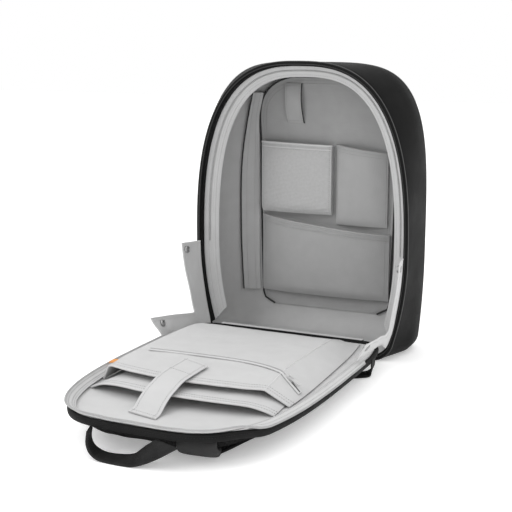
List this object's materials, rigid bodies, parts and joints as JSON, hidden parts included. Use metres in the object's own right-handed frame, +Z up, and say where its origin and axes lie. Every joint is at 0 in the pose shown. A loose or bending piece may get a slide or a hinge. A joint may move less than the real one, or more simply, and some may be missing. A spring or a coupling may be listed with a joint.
{
  "type": "anti-theft backpack",
  "caption": "Moulded backpack standing open: a rounded shell with an organiser inside, and its padded back panel folded flat in front with laptop and tablet sleeves, a zipped pocket and straps.",
  "frame": {"origin": "middle of the shell's flat base, on the floor", "axes": "+Z up, +Y towards the back of the shell, +X to the right of someone looking into it; the folded panel lies towards -Y"},
  "size_m": [0.3594, 0.6436, 0.45],
  "materials": {
    "coated_black": "satin coated cloth over a moulded foam shell",
    "binding_black": "matt woven binding",
    "air_mesh": "matt spacer mesh over foam",
    "webbing_black": "matt woven webbing",
    "lining_grey": "matt lining cloth",
    "light_grey": "matt light lining cloth",
    "pocket_mesh": "fine open mesh",
    "zip_grey": "satin zip teeth, tape and slider",
    "snap_metal": "plated snap",
    "plastic_black": "fine moulded texture",
    "tab_orange": "matt ribbon"
  },
  "bodies": {
    "bag": {"outer_shell": "coated_black", "rim_binding": "binding_black", "shell_lining": "lining_grey", "rim_facing": "binding_black", "rim_collar": "light_grey", "shell_zip_chain": "zip_grey", "organiser_panel": "lining_grey", "mesh_pocket": "pocket_mesh", "slip_pocket": "lining_grey", "lower_pocket": "lining_grey", "cable_loop": "lining_grey", "side_sleeve_left": "lining_grey", "side_sleeve_right": "lining_grey", "hinge_lining": "light_grey", "hinge_cover": "coated_black", "gusset_left": "light_grey", "gusset_right": "light_grey", "snap_left_upper": "snap_metal", "snap_left_lower": "snap_metal", "snap_right_upper": "snap_metal", "snap_right_lower": "snap_metal", "panel_pad": "air_mesh", "panel_binding": "binding_black", "panel_lining": "light_grey", "panel_zip_lip": "light_grey", "panel_zip_chain": "zip_grey", "laptop_sleeve": "light_grey", "zip_pocket": "light_grey", "pocket_zip": "zip_grey", "pocket_zip_slider": "zip_grey", "closing_strap": "light_grey", "pocket_tab": "tab_orange", "grab_handle": "webbing_black", "shoulder_strap_left": "air_mesh", "shoulder_strap_right": "air_mesh", "strap_adjuster_left": "plastic_black", "strap_adjuster_right": "plastic_black", "strap_webbing_left": "webbing_black", "strap_webbing_right": "webbing_black"},
    "pull": {"pocket_zip_pull": "zip_grey"}
  },
  "joints": [
    {"name": "pocket_pull_swing", "type": "hinge", "parent": "bag", "child": "pull", "pos_m": [0.11374, -0.34691, 0.06082], "axis": [0, -0.9999, 0.0156], "range_deg": [0, 150]}
  ]
}
